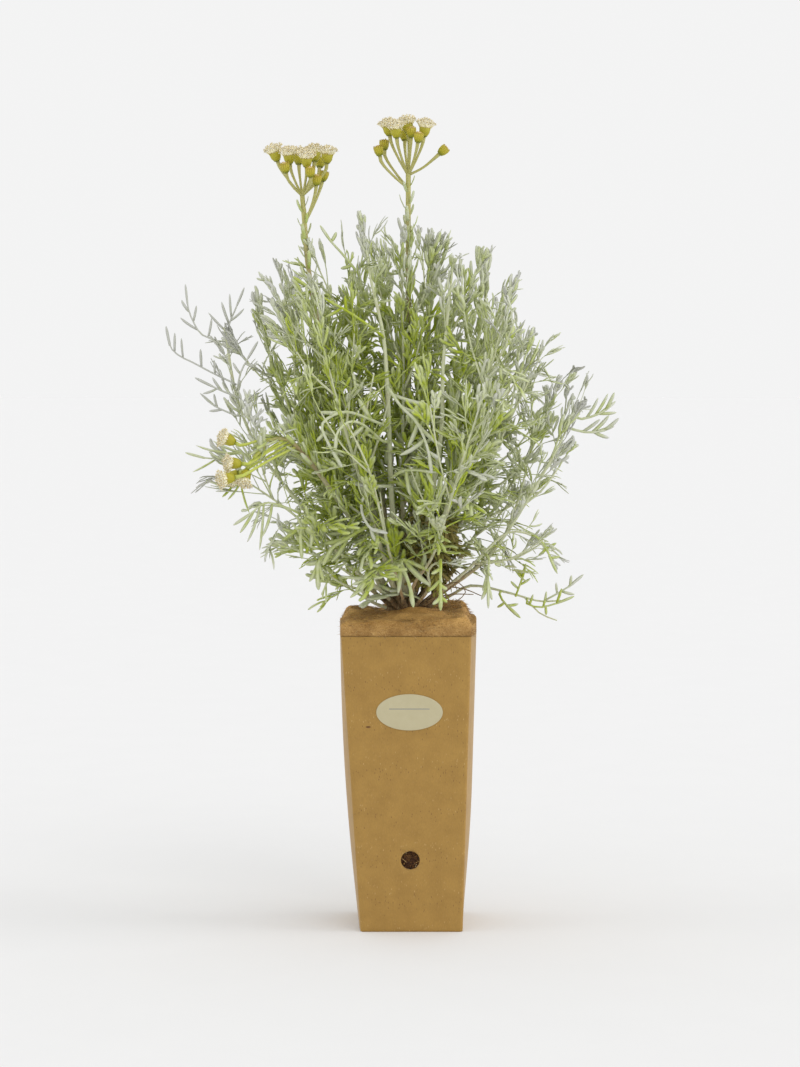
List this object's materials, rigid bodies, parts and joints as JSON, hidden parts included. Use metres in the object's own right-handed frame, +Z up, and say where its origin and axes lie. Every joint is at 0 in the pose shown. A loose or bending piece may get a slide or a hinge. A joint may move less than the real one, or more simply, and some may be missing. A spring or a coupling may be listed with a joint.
{
  "type": "potted plant",
  "caption": "Bushy silver-leaved Senecio viravira with cream button flowers, rooted in a tapered square kraft carton under a fibre mulch mat.",
  "frame": {"origin": "centre of the carton's underside, on the surface that it stands on", "axes": "+Z up, the way the plant grows; the carton's labelled panel faces -Y, and +X is to the right when that panel is looked at"},
  "size_m": [0.3297, 0.2246, 0.6039],
  "materials": {
    "kraft_board": "matte",
    "label_paper": "satin",
    "potting_soil": "matte",
    "coir_mulch": "matte",
    "woody_bark": "matte",
    "silver_foliage": "matte",
    "flower_stem": "matte",
    "flower_bract": "matte",
    "flower_floret": "matte"
  },
  "bodies": {
    "root": {"carton": "kraft_board", "oval_label": "label_paper", "root_ball": "potting_soil", "mulch_mat": "coir_mulch", "crown": "woody_bark", "centre_back_shoot": "silver_foliage", "centre_left_shoot": "silver_foliage", "centre_right_shoot": "silver_foliage", "centre_shoot": "silver_foliage", "drooping_flower_head_1": "flower_floret", "drooping_flower_head_2": "flower_floret", "drooping_flower_head_3": "flower_floret", "drooping_flower_head_4": "flower_floret", "drooping_flower_head_5": "flower_floret", "drooping_flower_stalk": "flower_stem", "front_drooping_shoot": "silver_foliage", "front_left_shoot": "silver_foliage", "front_right_shoot": "silver_foliage", "left_back_shoot": "silver_foliage", "left_flower_bud_1": "flower_bract", "left_flower_bud_2": "flower_bract", "left_flower_bud_3": "flower_bract", "left_flower_bud_4": "flower_bract", "left_flower_head_1": "flower_floret", "left_flower_head_2": "flower_floret", "left_flower_head_3": "flower_floret", "left_flower_head_4": "flower_floret", "left_flower_head_5": "flower_floret", "left_flower_head_6": "flower_floret", "left_flower_head_7": "flower_floret", "left_flower_stalk": "flower_stem", "left_front_shoot": "silver_foliage", "left_low_shoot": "silver_foliage", "left_mass_shoot": "silver_foliage", "left_outer_shoot": "silver_foliage", "left_rim_shoot": "silver_foliage", "left_sagging_shoot": "silver_foliage", "long_pale_shoot": "silver_foliage", "pale_right_shoot": "silver_foliage", "right_back_shoot": "silver_foliage", "right_flower_bud_1": "flower_bract", "right_flower_bud_2": "flower_bract", "right_flower_bud_3": "flower_bract", "right_flower_bud_4": "flower_bract", "right_flower_bud_5": "flower_bract", "right_flower_head_1": "flower_floret", "right_flower_head_2": "flower_floret", "right_flower_head_3": "flower_floret", "right_flower_head_4": "flower_floret", "right_flower_head_5": "flower_floret", "right_flower_stalk": "flower_stem", "right_front_shoot": "silver_foliage", "right_low_shoot": "silver_foliage", "right_lowest_shoot": "silver_foliage", "right_mass_shoot": "silver_foliage", "right_outer_back_shoot": "silver_foliage", "right_outer_shoot": "silver_foliage", "right_upper_shoot": "silver_foliage"}
  },
  "joints": []
}
